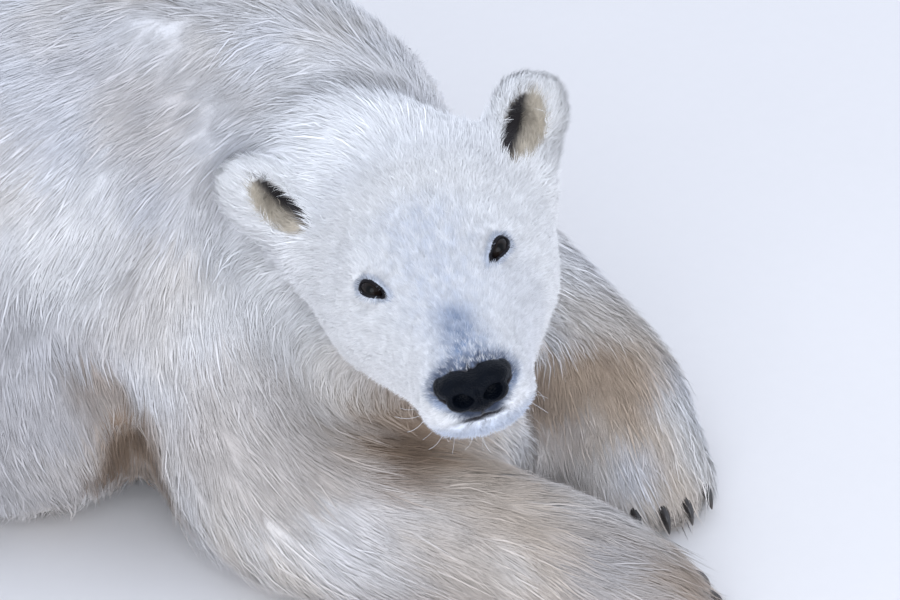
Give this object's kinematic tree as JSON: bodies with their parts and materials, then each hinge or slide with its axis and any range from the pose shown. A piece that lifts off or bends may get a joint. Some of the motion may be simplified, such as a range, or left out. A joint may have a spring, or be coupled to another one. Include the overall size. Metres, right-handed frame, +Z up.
{
  "type": "lying polar bear model",
  "caption": "Life-size still model of a polar bear lying on its chest, forepaws together, head turned to its right and looking up.",
  "frame": {"origin": "on the floor, on the flat under the breast where the bear lies", "axes": "+Z up out of the floor, the bear's chest faces -Y, its rump is towards +Y and its right side is at -X"},
  "size_m": [0.9776, 1.384, 0.5319],
  "materials": {
    "white_fur": "long white coat fur",
    "cream_fur": "long cream coat fur",
    "brown_fur": "coat fur stained warm brown",
    "dark_skin": "bare black nose skin, softly shiny",
    "eye": "very dark, wet and glossy",
    "claw": "black horn, satin"
  },
  "bodies": {
    "root": {"ear_left": "white_fur", "ear_right": "white_fur", "eye_left": "eye", "eye_right": "eye", "forearm_left": "brown_fur", "forearm_right": "brown_fur", "forepaw_left": "brown_fur", "forepaw_left_claw_1": "claw", "forepaw_left_claw_2": "claw", "forepaw_left_claw_3": "claw", "forepaw_left_claw_4": "claw", "forepaw_left_claw_5": "claw", "forepaw_right": "brown_fur", "forepaw_right_claw_1": "claw", "forepaw_right_claw_2": "claw", "forepaw_right_claw_3": "claw", "forepaw_right_claw_4": "claw", "forepaw_right_claw_5": "claw", "head": "white_fur", "hindpaw_left": "cream_fur", "hindpaw_left_claw_1": "claw", "hindpaw_left_claw_2": "claw", "hindpaw_left_claw_3": "claw", "hindpaw_left_claw_4": "claw", "hindpaw_left_claw_5": "claw", "hindpaw_right": "cream_fur", "hindpaw_right_claw_1": "claw", "hindpaw_right_claw_2": "claw", "hindpaw_right_claw_3": "claw", "hindpaw_right_claw_4": "claw", "hindpaw_right_claw_5": "claw", "jaw": "white_fur", "neck": "white_fur", "nose_pad": "dark_skin", "shank_left": "cream_fur", "shank_right": "cream_fur", "tail": "white_fur", "thigh_left": "white_fur", "thigh_right": "white_fur", "trunk": "cream_fur", "upper_arm_left": "cream_fur", "upper_arm_right": "cream_fur"}
  },
  "joints": []
}
